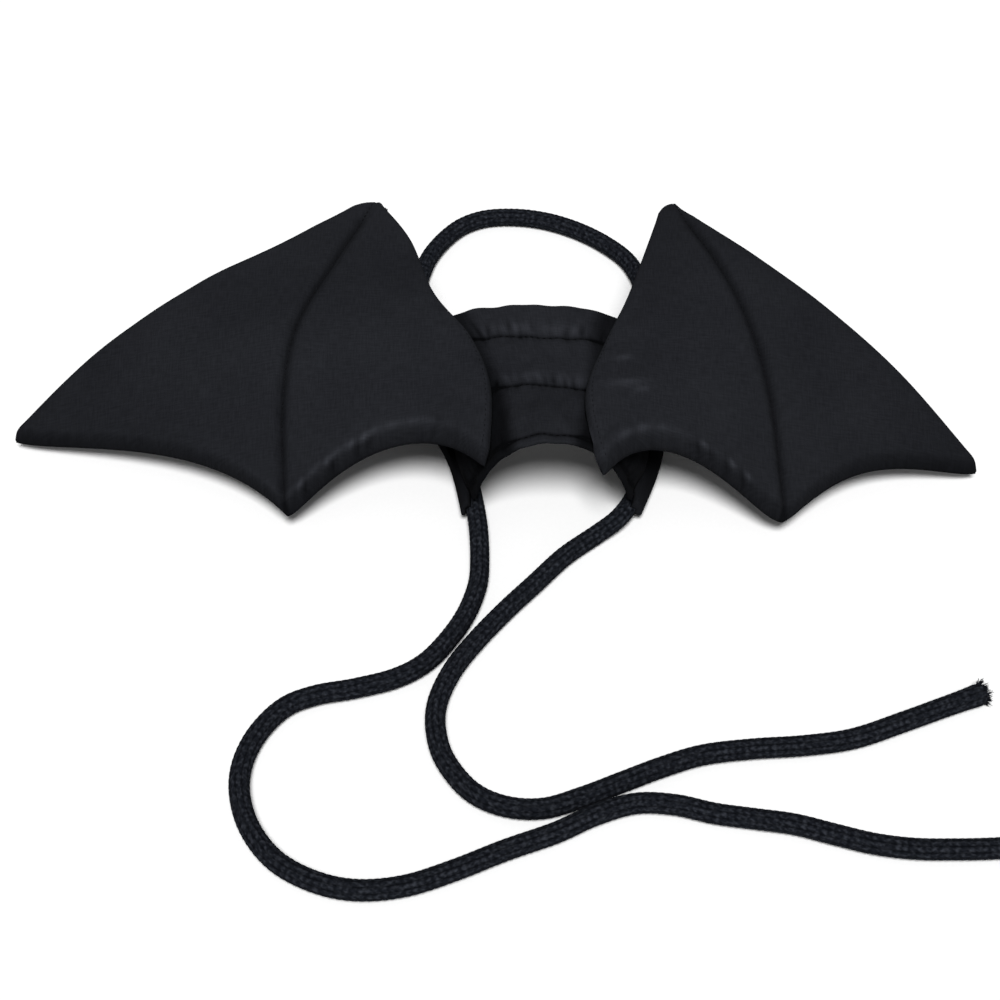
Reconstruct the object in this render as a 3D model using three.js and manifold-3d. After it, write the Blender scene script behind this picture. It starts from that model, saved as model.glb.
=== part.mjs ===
import * as THREE from 'three';
import { mergeVertices } from 'three/addons/utils/BufferGeometryUtils.js';
import Module from 'manifold-3d';

// A pair of padded bat wings, sewn to a quilted saddle that sits over a small animal's neck.
// One round cord runs through a casing along each side of the saddle: it makes the neck loop
// at the back and leaves two free ends at the front. All of it lies on a level surface.
// Millimetres. +X is the animal's left to right as seen from the front, +Y runs back, +Z is up.

// The quilted saddle, an arch whose feet stand on the casings
const saddleLength = 59;        // front hem to back edge
const saddleHalfWidth = 41;     // middle to foot, at the back
const saddleHeight = 38.5;      // surface to crown, at the back
const saddleWall = 4.4;         // padded thickness in the middle of a channel
const seamPress = 1.5;          // how far a channel seam is pressed in from outside
const hemWall = 1.6;            // thickness of the hem and of the seams, sewn flat
const paddingPower = 0.6;       // how square a channel's swell is
const seamTurn = 0.09;          // slope of the seams across, left end further back
const seamBow = 1.2;            // how far a seam's ends stand back at seamReach from its middle
const seamReach = 18;

// The casings, folded tunnels along the saddle's side edges
const casingHeight = 10.5;      // surface to the seam that joins casing and saddle
const casingWall = 1.4;         // folded cloth round the cord
const casingProud = 1.8;        // how far the tunnel stands out from the saddle's side
const casingFlat = 0.4;         // flattened where it rests
const casingBow = 2;            // how far both casings bow to +X in the middle
const mouthSlant = 18;          // how far the outer corner reaches past the mouth's inner side
const mouthFade = 2.5;          // how soon the slant ends behind the mouth
const arcStart = 0.12 * Math.PI;   // where the fold starts, above level on its outer side
const arcSweep = 1.24 * Math.PI;   // from there down and round to the inner side

// The round cord
const cordDiameter = 6;
const cordClearance = 0.4;      // between cord and casing, all round
const cordLift = 0.15;          // under the free cord

// The wings, padded and flat, each with one stitched rib
const leftReach = 170;          // saddle's middle to the left wing's tip
const rightReach = 140;         // the same on the right, which lies more folded
const wingChord = 112;          // back point to the hem's middle point, front to back
const wingRise = 40;            // surface to the back point
const wingPad = 6.2;            // padded thickness
const wingEdge = 3.3;           // width of the rounded edge
const ribPress = 0.62;          // share of the thickness that the rib's stitching takes out
const ribWidth = 1.8;           // half width of the rib's groove
const ribStart = 14;            // from the back point to where the groove has its full depth
const backRound = 0.9;          // how far the back point's end is rounded out
const backFade = 8;             // how soon that rounding ends along the wing
const cornerRound = 0.010;      // share of a wing's lines that its hem's corners are rounded by
const cornerWidth = 0.04;       // share of a panel's width that a rounded corner takes

// Between pieces that touch
const pieceGap = 0.3;

// How finely the curved pieces are divided
const cordSides = 8;
const cordStep = 13.2;          // one straight step of the cord
const boreSides = 16;
const boreStep = 5;             // one straight step of the casing's inside
const archSteps = 26;           // across the saddle
const casingSteps = 12;         // along a casing
const arcSteps = 14;            // round a casing's fold
const innerColumns = 12;        // across a wing's inner panel
const outerColumns = 14;        // across its outer panel
const wingRows = 16;            // from the back point to the hem

// Cross lines of the saddle, front to back. Width and height are shares of the saddle's,
// square is how boxy the arch is (2 is an ellipse), shift is the arch's lean to +X in mm.
const saddleRows = [
  { along: 0.00, width: 0.670, height: 1.000, square: 2.10, shift: 3.8 },
  { along: 0.40, width: 0.835, height: 0.955, square: 2.10, shift: 3.2 },
  { along: 0.74, width: 0.950, height: 0.975, square: 2.60, shift: 0.0 },
  { along: 1.00, width: 1.000, height: 1.035, square: 2.80, shift: -2.5 },
];

// The padded channels between the sewn seams across the saddle. close is where a channel's
// swell would end, which for the last one is past the back edge, so that the edge stays thick.
const channels = [
  { from: 0.000, to: 0.050, close: 0.050, sections: 1, full: 0.0 },
  { from: 0.050, to: 0.435, close: 0.435, sections: 6, full: 0.8 },
  { from: 0.435, to: 0.785, close: 0.785, sections: 6, full: 1.0 },
  { from: 0.785, to: 1.000, close: 1.110, sections: 6, full: 1.0 },
];

// Each wing has three lines from its back point: the inner edge, the rib and the leading edge.
// out is a share of the reach, back of the chord and up of the rise. The inner edge ends on the
// saddle: there share is the place on the half width and lift stands on the saddle's surface.
const wings = [
  {
    name: 'wing_left', side: -1, reach: leftReach,
    inner: [
      { out: 0.303, back: 0.670, up: 1.00 },
      { out: 0.245, back: 0.514, up: 1.01 },
      { out: 0.196, back: 0.290, up: 0.99 },
    ],
    seat: [
      { share: 0.54, along: 0.74, lift: 3.0 },
      { share: 0.53, along: 0.41, lift: 3.0 },
      { share: 0.75, along: -0.04, lift: 1.0 },
    ],
    rib: [
      { out: 0.328, back: 0.684, up: 1.01 },
      { out: 0.401, back: 0.410, up: 1.05 },
      { out: 0.465, back: 0.165, up: 0.95 },
      { out: 0.480, back: -0.039, up: 0.625 },
      { out: 0.464, back: -0.328, up: 0.175 },
    ],
    lead: [
      { out: 0.363, back: 0.665, up: 1.00 },
      { out: 0.503, back: 0.471, up: 1.05 },
      { out: 0.654, back: 0.343, up: 0.95 },
      { out: 0.840, back: 0.184, up: 0.625 },
      { out: 1.006, back: 0.018, up: 0.075 },
    ],
    innerScallop: { depth: 0.112, skew: 0.84, sharp: 1.0 },
    outerScallop: { depth: 0.076, skew: 0.70, sharp: 1.0 },
  },
  {
    name: 'wing_right', side: 1, reach: rightReach,
    inner: [
      { out: 0.292, back: 0.645, up: 1.00 },
      { out: 0.252, back: 0.471, up: 1.01 },
      { out: 0.200, back: 0.264, up: 0.99 },
    ],
    seat: [
      { share: 0.52, along: 0.70, lift: 3.0 },
      { share: 0.32, along: 0.29, lift: 3.0 },
      { share: 0.53, along: -0.14, lift: -2.0 },
    ],
    rib: [
      { out: 0.322, back: 0.679, up: 1.01 },
      { out: 0.410, back: 0.389, up: 1.05 },
      { out: 0.479, back: 0.165, up: 0.95 },
      { out: 0.528, back: -0.020, up: 0.625 },
      { out: 0.537, back: -0.353, up: 0.175 },
    ],
    lead: [
      { out: 0.344, back: 0.652, up: 1.00 },
      { out: 0.516, back: 0.413, up: 1.05 },
      { out: 0.679, back: 0.228, up: 0.925 },
      { out: 0.829, back: 0.097, up: 0.625 },
      { out: 1.006, back: -0.106, up: 0.075 },
    ],
    innerScallop: { depth: 0.108, skew: 0.76, sharp: 1.25 },
    outerScallop: { depth: 0.070, skew: 0.94, sharp: 1.0 },
  },
];

// The free cord's route on the surface, x and y, from the casings' mouths. Chosen by eye.
const rightEndRoute = [
  [24.5, -32], [18, -37.2], [7.8, -46.2], [-1.6, -57.3], [-10.8, -68.2], [-19.8, -80.2],
  [-26.4, -91], [-30.5, -102.5], [-30.8, -113], [-27.8, -123.5], [-20.5, -133.7], [-11, -138.8],
  [0, -139.5], [11.5, -135.5], [23, -130.3], [34.5, -125.2], [46, -121.2], [60, -119.2],
  [75, -118], [89.5, -115.5], [104.7, -109.5], [117, -104.3], [129.2, -99.2],
];
const leftEndRoute = [
  [-19.1, -36], [-18.6, -48], [-19.2, -58], [-22.4, -69], [-27.6, -79], [-34.5, -88],
  [-43.2, -93.8], [-54.8, -97.5], [-66.4, -100.1], [-75.2, -104.6], [-82.2, -114],
  [-85.7, -125], [-85.3, -136], [-81.2, -147.2], [-73.5, -157], [-62.6, -163.4], [-51, -166],
  [-38, -164.6], [-24.6, -159.6], [-11, -153.3], [3, -147.6], [14.1, -141.8], [25.5, -137.9],
  [36.6, -138.3], [47.6, -141.2], [58.6, -143], [69.6, -144.8], [80.4, -148.1], [91.1, -151.2],
  [101.9, -152.8], [112.9, -153], [124, -152.7], [140, -151.5], [156, -149.5], [172, -147],
  [183, -145],
];
const neckLoopRoute = [
  [-41.7, 36], [-42.9, 47], [-42.6, 62], [-40.8, 79], [-36.8, 94.8], [-28.5, 108], [-19, 114.3],
  [-7.5, 115.6], [4, 113.5], [15, 108.4], [25, 100.8], [33, 91.2], [37.4, 78], [38.2, 64],
  [37, 50], [35.6, 38],
];

const wasm = await Module();
wasm.setup();

const cordRadius = cordDiameter / 2;
const boreRadius = cordRadius + cordClearance;
const casingRadius = boreRadius + casingWall;
const axisHeight = casingRadius - casingFlat;
const saddleFoot = casingHeight + pieceGap / 2;
const casingTop = casingHeight - pieceGap / 2;
const cordRest = cordRadius + cordLift;         // the free cord's axis above the surface

// Places along a casing, as shares of its length: where the cord's lengths meet, and the
// points in front of that and behind it that each length's line runs through.
const meeting = 0.5;
const meetingGap = pieceGap / saddleLength;
const frontPlaces = [0.35, 0.2, 0.08];
const backPlaces = [0.65, 0.8, 0.95];

// A row's value at a place between rows, along a smooth curve through them.
function rowValue(rows, key, along) {
  const last = rows.length - 1;
  const at = Math.min(Math.max(along, rows[0].along), rows[last].along);
  let i = 0;
  while (i < last - 1 && at > rows[i + 1].along) i += 1;
  const slope = (k) => {
    const a = rows[Math.max(k - 1, 0)];
    const b = rows[Math.min(k + 1, last)];
    return (b[key] - a[key]) / (b.along - a.along);
  };
  const step = rows[i + 1].along - rows[i].along;
  const f = (at - rows[i].along) / step;
  const rise = rows[i + 1][key] - rows[i][key];
  const p = slope(i) * step;
  const q = slope(i + 1) * step;
  return rows[i][key] + p * f + (3 * rise - 2 * p - q) * f * f + (p + q - 2 * rise) * f * f * f;
}

// The arch across the saddle at one place along it, made smaller all round by inset.
function archAt(along, inset) {
  return {
    halfWidth: saddleHalfWidth * rowValue(saddleRows, 'width', along) - inset,
    height: saddleHeight * rowValue(saddleRows, 'height', along) - inset,
    square: rowValue(saddleRows, 'square', along),
    shift: rowValue(saddleRows, 'shift', along),
    along,
    y: (along - 0.5) * saddleLength,
  };
}

// How far a cross line of the saddle is moved back at a place out from its middle: turned and
// bowed in the middle of the saddle's length, straight at both ends.
function seamShift(arch, out) {
  const sway = seamBow * (out / seamReach) ** 2 - seamTurn * out;
  return sway * Math.sin(Math.PI * arch.along);
}

// The arch's half width at height z: a superellipse.
function archReach(arch, z) {
  return arch.halfWidth * (1 - (z / arch.height) ** arch.square) ** (1 / arch.square);
}

// A point of the arch by its angle from the crown. u runs from the left foot, -1, to the right
// foot, 1, and the foot stands at height foot.
function archPoint(arch, u, foot) {
  const angle = u * Math.atan2(archReach(arch, foot), foot);
  const n = arch.square;
  const across = (Math.abs(Math.sin(angle)) / arch.halfWidth) ** n;
  const upward = (Math.cos(angle) / arch.height) ** n;
  const radius = (across + upward) ** (-1 / n);
  const out = radius * Math.sin(angle);
  return new THREE.Vector3(arch.shift + out, arch.y + seamShift(arch, out), radius * Math.cos(angle));
}

// A point over the saddle's surface by its share of the half width.
function saddlePoint(share, along, lift) {
  const arch = archAt(along, 0);
  const n = arch.square;
  const z = arch.height * (1 - Math.abs(share) ** n) ** (1 / n) + lift;
  return new THREE.Vector3(arch.shift + share * arch.halfWidth, arch.y, z);
}

// A closed mesh from triangles given as points.
function geometryFromTriangles(triangles) {
  const positions = triangles.flatMap((p) => [p.x, p.y, p.z]);
  const geometry = new THREE.BufferGeometry();
  geometry.setAttribute('position', new THREE.Float32BufferAttribute(positions, 3));
  return mergeVertices(geometry, 0.0001);
}

// The triangles of a grid of points, seen from the side its rows and columns turn round.
function gridTriangles(grid, flip) {
  const out = [];
  for (let i = 0; i < grid.length - 1; i += 1) {
    for (let j = 0; j < grid[i].length - 1; j += 1) {
      const [a, b] = [grid[i][j], grid[i][j + 1]];
      const [c, d] = [grid[i + 1][j], grid[i + 1][j + 1]];
      const pairs = [[a, b, d], [a, d, c]];
      for (const [p, q, r] of pairs) {
        if (p.distanceTo(q) < 0.001 || q.distanceTo(r) < 0.001 || r.distanceTo(p) < 0.001) continue;
        out.push(...(flip ? [p, r, q] : [p, q, r]));
      }
    }
  }
  return out;
}

// A ring's cap as a fan from its middle, for rings that bulge all round.
function fanCap(ring) {
  const middle = ring.reduce((sum, p) => sum.add(p), new THREE.Vector3()).divideScalar(ring.length);
  return ring.flatMap((p, i) => [middle, ring[(i + 1) % ring.length], p]);
}

// A ring's cap as a strip between its first and second half, for rings round an arched wall.
function stripCap(ring) {
  const half = ring.length / 2;
  const back = ring.slice(half).reverse();
  return gridTriangles([ring.slice(0, half), back], true);
}

// Closed rings of points, one after the other, with both ends capped.
function ringSolid(rings, cap) {
  const closed = rings.map((ring) => [...ring, ring[0]]);
  const start = cap(rings[0]);
  const end = cap(rings[rings.length - 1]);
  const turnedEnd = end.flatMap((p, i) => (i % 3 === 0 ? [p, end[i + 2], end[i + 1]] : []));
  return geometryFromTriangles([...gridTriangles(closed, false), ...start, ...turnedEnd]);
}

function toSolid(geometry) {
  const mesh = geometry.clone();
  for (const name of Object.keys(mesh.attributes)) {
    if (name !== 'position') mesh.deleteAttribute(name);
  }
  const merged = mergeVertices(mesh, 0.0001);
  return new wasm.Manifold(new wasm.Mesh({
    numProp: 3,
    vertProperties: new Float32Array(merged.attributes.position.array),
    triVerts: new Uint32Array(merged.index.array),
  }));
}

function fromSolid(solid) {
  const mesh = solid.getMesh();
  const geometry = new THREE.BufferGeometry();
  geometry.setAttribute('position', new THREE.BufferAttribute(mesh.vertProperties, 3));
  geometry.setIndex(new THREE.BufferAttribute(mesh.triVerts, 1));
  return geometry;
}

// A round tube of many short steps along a curve.
function tubeGeometry(points, radius, sides, step) {
  const curve = new THREE.CatmullRomCurve3(points, false, 'catmullrom', 0.5);
  const section = new THREE.Shape();
  for (let k = 0; k < sides; k += 1) {
    const angle = (2 * Math.PI * k) / sides;
    const place = [radius * Math.cos(angle), radius * Math.sin(angle)];
    if (k === 0) section.moveTo(...place);
    else section.lineTo(...place);
  }
  section.closePath();
  return new THREE.ExtrudeGeometry(section, {
    steps: Math.ceil(curve.getLength() / step),
    extrudePath: curve,
    bevelEnabled: false,
  });
}

// A section of the saddle in a channel, with how plump the padding is: nothing at a sewn seam.
function channelSection(channel, k) {
  const along = channel.from + (k / channel.sections) * (channel.to - channel.from);
  const f = (along - channel.from) / (channel.close - channel.from);
  return { along, plump: channel.full * Math.sin(Math.PI * f) ** paddingPower };
}

function saddleSections() {
  const last = channels[channels.length - 1];
  const starts = channels.flatMap((channel) => (
    Array.from({ length: channel.sections }, (_, k) => channelSection(channel, k))));
  return [...starts, channelSection(last, last.sections)];
}

// The quilted arch: an outer and an inner sheet over the same sections, closed at its feet.
function buildSaddle() {
  const rings = saddleSections().map(({ along, plump }) => {
    const outerInset = seamPress * (1 - plump);
    const wall = hemWall + (saddleWall - hemWall) * plump;
    const outer = archAt(along, outerInset);
    const inner = archAt(along, outerInset + wall);
    const ring = [];
    for (let k = 0; k <= archSteps; k += 1) {
      ring.push(archPoint(outer, (2 * k) / archSteps - 1, saddleFoot));
    }
    for (let k = archSteps; k >= 0; k -= 1) {
      ring.push(archPoint(inner, (2 * k) / archSteps - 1, saddleFoot));
    }
    return ring;
  });
  return ringSolid(rings, stripCap);
}

// The cord's axis inside a casing.
function casingAxis(side, along) {
  const arch = archAt(along, 0);
  const out = archReach(arch, saddleFoot) + casingProud - casingRadius;
  const bow = casingBow * 4 * along * (1 - along);
  return new THREE.Vector3(arch.shift + side * out + bow, arch.y, axisHeight);
}

// A route's points on the surface. The points next to a mouth are still at the casing's height.
function onSurface(route, mouths) {
  return route.map(([x, y], i) => new THREE.Vector3(x, y, mouths.includes(i) ? axisHeight : cordRest));
}

const loopPoints = onSurface(neckLoopRoute, [0, neckLoopRoute.length - 1]);
const endPoints = { '-1': onSurface(leftEndRoute, [0]), 1: onSurface(rightEndRoute, [0]) };

// The cord's line through a casing, from a little behind its back mouth to past its front mouth.
function casingLine(side) {
  const loop = side < 0 ? loopPoints : [...loopPoints].reverse();
  const places = [...backPlaces].reverse().concat(meeting, frontPlaces);
  return [loop[1], loop[0], ...places.map((along) => casingAxis(side, along)),
    ...endPoints[side].slice(0, 2)];
}

// The two free ends start in the middle of the casings, where they meet the neck loop's ends.
function buildCordEnd(side) {
  const inside = [meeting - meetingGap, ...frontPlaces].map((along) => casingAxis(side, along));
  return tubeGeometry([...inside, ...endPoints[side]], cordRadius, cordSides, cordStep);
}

function buildNeckLoop() {
  const inside = [meeting + meetingGap, ...backPlaces];
  const left = inside.map((along) => casingAxis(-1, along));
  const right = inside.map((along) => casingAxis(1, along)).reverse();
  return tubeGeometry([...left, ...loopPoints, ...right], cordRadius, cordSides, cordStep);
}

// Where the saddle's foot, made smaller by inset, stands on a casing.
function footPoint(side, along, inset) {
  const arch = archAt(along, inset);
  return new THREE.Vector3(arch.shift + side * archReach(arch, casingTop), arch.y, casingTop);
}

// One section of a casing: the saddle's edge above, round the cord below, flat where it rests.
// The section slants back from its outer corner to its inner side by the share slant.
function casingSection(side, along, slant) {
  const points = [footPoint(side, along, 0)];
  for (let k = 0; k <= arcSteps; k += 1) {
    const angle = arcStart - (arcSweep * k) / arcSteps;
    const out = Math.cos(angle);
    const axis = casingAxis(side, along + (slant * (1 - out)) / 2);
    const z = Math.max(0, axis.z + casingRadius * Math.sin(angle));
    points.push(new THREE.Vector3(axis.x + side * casingRadius * out, axis.y, z));
  }
  points.push(footPoint(side, along + slant / 2, seamPress + hemWall));
  return points;
}

function buildCasing(side) {
  const rings = [];
  for (let k = 0; k <= casingSteps; k += 1) {
    const along = k / casingSteps;
    const slant = (mouthSlant / saddleLength) * (1 - along) ** mouthFade;
    const ring = casingSection(side, along, slant);
    rings.push(side < 0 ? ring.reverse() : ring);
  }
  const bore = toSolid(tubeGeometry(casingLine(side), boreRadius, boreSides, boreStep));
  return fromSolid(toSolid(ringSolid(rings, fanCap)).subtract(bore));
}

// Everything under the saddle's outer surface, a gap larger: what a wing may not enter.
function saddleKeepOut() {
  const rings = saddleSections().map(({ along, plump }) => {
    const outer = archAt(along, seamPress * (1 - plump) - pieceGap);
    if (along === 0) outer.y -= pieceGap;
    if (along === 1) outer.y += pieceGap;
    const ring = [];
    for (let k = 0; k <= archSteps; k += 1) {
      ring.push(archPoint(outer, (2 * k) / archSteps - 1, casingTop));
    }
    return ring;
  });
  return toSolid(ringSolid(rings, fanCap));
}

// A smooth line through a wing's points, read at a share s of their number.
function lineAt(points, s) {
  return new THREE.CatmullRomCurve3(points, false, 'catmullrom', 0.5).getPoint(s);
}

// How far the hem is cut back towards the back point, at a share t of the panel's width: its
// scallop, and its corners at both ends rounded.
function scallopAt(scallop, t) {
  const k = t ** scallop.skew;
  const fromCorner = Math.min(t, 1 - t) / cornerWidth;
  const corner = cornerRound * Math.exp(-fromCorner * fromCorner);
  return scallop.depth * (4 * k * (1 - k)) ** scallop.sharp + corner;
}

// Shares from 0 to 1 that lie closer together near both ends.
function endwiseShares(count) {
  return Array.from({ length: count + 1 }, (_, k) => (1 - Math.cos((Math.PI * k) / count)) / 2);
}

// Columns of a wing's middle surface: lines that fan out from the back point to the hem, first
// over the inner panel, then from the rib over the outer panel.
function wingColumns(wing) {
  const place = (row) => new THREE.Vector3(
    wing.side * wing.reach * row.out, wingChord * row.back, wingRise * row.up);
  const seated = (row) => saddlePoint(wing.side * row.share, row.along, row.lift);
  const inner = [...wing.inner.map(place), ...wing.seat.map(seated)];
  const rib = wing.rib.map(place);
  const lead = wing.lead.map(place);
  const panels = [
    { from: inner, to: rib, scallop: wing.innerScallop, count: innerColumns },
    { from: rib, to: lead, scallop: wing.outerScallop, count: outerColumns },
  ];
  const backward = rib[0].clone().sub(rib[1]).normalize();
  const columns = [];
  for (const panel of panels) {
    for (const t of endwiseShares(panel.count)) {
      if (columns.length > 0 && t === 0) continue;
      const cut = 1 - scallopAt(panel.scallop, t);
      columns.push(endwiseShares(wingRows).map((s) => {
        const a = lineAt(panel.from, s * cut);
        const b = lineAt(panel.to, s * cut);
        const round = backRound * 4 * t * (1 - t) * (1 - s) ** backFade;
        return a.lerp(b, t).addScaledVector(backward, round);
      }));
    }
  }
  return columns;
}

// Half the padding's thickness: round at the outline, pressed in along the rib's column.
function padHalf(columns, i, j) {
  const here = columns[i][j];
  const column = columns[i];
  const edges = [columns[0][j], columns[columns.length - 1][j], column[0], column[column.length - 1]];
  const nearest = Math.min(...edges.map((point) => here.distanceTo(point)));
  const toEdge = Math.min(nearest / wingEdge, 1);
  const toRib = here.distanceTo(columns[innerColumns][j]) / ribWidth;
  const started = Math.min(here.distanceTo(columns[innerColumns][0]) / ribStart, 1);
  const roundEdge = Math.sqrt(1 - (1 - toEdge) ** 2);
  return (wingPad / 2) * roundEdge * (1 - ribPress * started * Math.exp(-toRib * toRib));
}

// A padded wing: the middle surface moved up and down by half the padding, and cut to its seat.
function buildWing(wing, keepOut) {
  const columns = wingColumns(wing);
  const last = columns.length - 1;
  const rowLast = columns[0].length - 1;
  const sheets = [[], []];
  columns.forEach((column, i) => {
    const upper = [];
    const lower = [];
    column.forEach((point, j) => {
      const along = column[Math.min(j + 1, rowLast)].clone().sub(column[Math.max(j - 1, 0)]);
      const acrossEnd = columns[Math.min(i + 1, last)][j];
      const across = acrossEnd.clone().sub(columns[Math.max(i - 1, 0)][j]);
      const normal = across.cross(along).normalize();
      if (normal.z < 0) normal.negate();
      const half = padHalf(columns, i, j);
      upper.push(point.clone().addScaledVector(normal, half));
      lower.push(point.clone().addScaledVector(normal, -half));
    });
    sheets[0].push(upper);
    sheets[1].push(lower);
  });
  const turned = wing.side < 0;
  const triangles = [...gridTriangles(sheets[0], turned), ...gridTriangles(sheets[1], !turned)];
  return fromSolid(toSolid(geometryFromTriangles(triangles)).subtract(keepOut));
}

const clothMaterial = { color: 0x1f2022, roughness: 0.78, metalness: 0 };
const cordMaterial = { color: 0x14161a, roughness: 0.9, metalness: 0 };

function addMesh(group, name, geometry, look) {
  const mesh = new THREE.Mesh(geometry, new THREE.MeshStandardMaterial(look));
  mesh.name = name;
  mesh.geometry.computeVertexNormals();
  group.add(mesh);
}

// The origin is on the surface, under the middle of the outline of all that is sewn.
const sewn = new THREE.Group();
const cords = new THREE.Group();

const keepOut = saddleKeepOut();
for (const wing of wings) addMesh(sewn, wing.name, buildWing(wing, keepOut), clothMaterial);
addMesh(sewn, 'saddle', buildSaddle(), clothMaterial);
addMesh(sewn, 'casing_left', buildCasing(-1), clothMaterial);
addMesh(sewn, 'casing_right', buildCasing(1), clothMaterial);
addMesh(cords, 'cord_neck_loop', buildNeckLoop(), cordMaterial);
addMesh(cords, 'cord_end_left', buildCordEnd(-1), cordMaterial);
addMesh(cords, 'cord_end_right', buildCordEnd(1), cordMaterial);

const outline = new THREE.Box3().setFromObject(sewn);
const middle = outline.getCenter(new THREE.Vector3());
const costume = new THREE.Group();
costume.add(sewn, cords);
costume.position.set(-middle.x, -middle.y, -outline.min.z);

export default costume;
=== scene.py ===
import bpy
import numpy as np
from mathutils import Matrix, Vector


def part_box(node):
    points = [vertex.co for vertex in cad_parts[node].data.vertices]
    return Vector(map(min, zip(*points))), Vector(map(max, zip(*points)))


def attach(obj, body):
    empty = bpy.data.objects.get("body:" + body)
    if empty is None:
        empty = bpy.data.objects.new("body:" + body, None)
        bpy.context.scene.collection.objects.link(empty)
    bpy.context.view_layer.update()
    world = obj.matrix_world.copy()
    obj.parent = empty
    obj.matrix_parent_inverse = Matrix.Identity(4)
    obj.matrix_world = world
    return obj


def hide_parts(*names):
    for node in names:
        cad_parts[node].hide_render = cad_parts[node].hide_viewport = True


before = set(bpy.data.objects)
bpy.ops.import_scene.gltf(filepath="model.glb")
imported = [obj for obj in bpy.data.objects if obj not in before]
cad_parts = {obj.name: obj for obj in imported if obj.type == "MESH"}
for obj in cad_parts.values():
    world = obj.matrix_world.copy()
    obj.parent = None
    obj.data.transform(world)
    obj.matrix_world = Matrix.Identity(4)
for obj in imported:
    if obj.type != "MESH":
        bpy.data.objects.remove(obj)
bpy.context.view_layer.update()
mm = 0.001


# The saddle's own place is the origin of all the shapes below: x 0 is the costume's middle,
# y 0 the middle of the saddle's length, z 0 the floor.
tipReach = 169.89 * mm  # from the costume's middle to the left wing's tip
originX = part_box("wing_left")[0].x + tipReach
originY = (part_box("saddle")[0].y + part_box("saddle")[1].y) / 2
origin = np.array([originX, originY, 0.0])


# Camera
camera = dict(
    place=(-12.35, -471.6, 494.6),  # mm, from the saddle's place
    elevation=47.6,  # degrees that it looks down
    lens=75.6,
    sensor=36.0,
)


def placeCamera(look):
    data = bpy.data.cameras.new("photoCamera")
    data.lens, data.sensor_width = look["lens"], look["sensor"]
    view = bpy.data.objects.new("photoCamera", data)
    view.location = np.array(look["place"]) * mm + origin
    view.rotation_euler = (np.radians(90 - look["elevation"]), 0, 0)
    bpy.context.scene.collection.objects.link(view)
    bpy.context.scene.camera = view


placeCamera(camera)


# A curve through points: in each span a cubic, whose slope at a point is half of the way from
# the point before it to the one after it. The line goes straight on past both ends.
def curveThrough(points, share):
    p = np.asarray(points, float)
    ends = np.vstack([2 * p[0] - p[1], p, 2 * p[-1] - p[-2]])
    at = np.clip(share, 0, 1) * (len(p) - 1)
    i = np.minimum(at.astype(int), len(p) - 2)
    f = (at - i)[..., None]
    a, b, c, d = ends[i], ends[i + 1], ends[i + 2], ends[i + 3]
    leave, arrive = (c - a) / 2, (d - b) / 2
    bend = 3 * (c - b) - 2 * leave - arrive
    return b + leave * f + bend * f**2 + (2 * (b - c) + leave + arrive) * f**3


# Running length of a line of points, from 0 at the first.
def runningLength(points):
    steps = np.linalg.norm(np.diff(points, axis=0), axis=-1)
    return np.concatenate([[0.0], np.cumsum(steps)])


# Points at even distances along the curve through points, and their running length.
def evenPath(points, step):
    dense = curveThrough(points, np.linspace(0, 1, 80 * len(points)))
    run = runningLength(dense)
    at = np.linspace(0, run[-1], int(np.ceil(run[-1] / step)) + 1)
    path = np.stack([np.interp(at, run, dense[:, k]) for k in range(3)], -1)
    return path, at


def unit(v):
    return v / np.maximum(np.linalg.norm(v, axis=-1, keepdims=True), 1e-12)


# Four-sided faces between neighbours of a grid of vertex numbers.
def gridFaces(index):
    corners = [index[:-1, :-1], index[:-1, 1:], index[1:, 1:], index[1:, :-1]]
    return np.stack(corners, -1).reshape(-1, 4)


# Shares from 0 to 1, closer together towards both ends: part even, part half a cosine wave.
def edgewiseShares(count, even=0.35):
    step = np.linspace(0, 1, count + 1)
    return even * step + (1 - even) * (1 - np.cos(np.pi * step)) / 2


# A soft random field over two measures in metres: a sum of waves of about one length, each
# with its own direction and phase, from -1 to 1 or a little more.
def softRipple(a, b, length, seed, waves=14):
    random = np.random.default_rng(seed)
    turn, phase = random.uniform(0, 2 * np.pi, (2, waves))
    number = 2 * np.pi / (length * random.uniform(0.7, 1.5, waves))
    across = a[..., None] * (number * np.cos(turn)) + b[..., None] * (number * np.sin(turn))
    return np.cos(across + phase).sum(-1) / np.sqrt(waves / 2) / 1.6


# Creases across a seam. a runs along the seam and d away from it, both in metres. Each crease
# is a narrow valley, depth exp(-(away / width)^2), that fades over its reach from the seam.
def creaseDepth(a, d, rule):
    random = np.random.default_rng(rule["seed"])
    start, end = rule["span"]
    count = max(1, int(round((end - start) / (rule["gap"] * mm))))
    place = start + (np.arange(count) + random.uniform(0.05, 0.95, count)) * (end - start) / count
    width = random.uniform(*rule["width"], count) * mm
    depth = random.uniform(*rule["depth"], count) * mm
    reach = random.uniform(*rule["reach"], count) * mm
    slant = random.uniform(-rule["slant"], rule["slant"], count)
    away = (a[..., None] - place - slant * d[..., None]) / width
    fade = np.exp(-(((d[..., None] - rule["off"] * mm) / reach) ** 2))
    return (depth * np.exp(-(away**2)) * fade).sum(-1)


# Distance from each point to the nearest of a line's points, and which one that is.
def nearestOf(points, line):
    flat = points.reshape(-1, 3)
    square = (flat**2).sum(1)[:, None] + (line**2).sum(1)[None] - 2 * flat @ line.T
    which = square.argmin(1)
    distance = np.linalg.norm(flat - line[which], axis=1)
    return distance.reshape(points.shape[:-1]), which.reshape(points.shape[:-1])


# Unit normals of a grid of points, on the side that faces up.
def upNormals(grid):
    normal = unit(np.cross(np.gradient(grid, axis=0), np.gradient(grid, axis=1)))
    return normal * np.where(normal[..., 2:] < 0, -1, 1)


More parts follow.
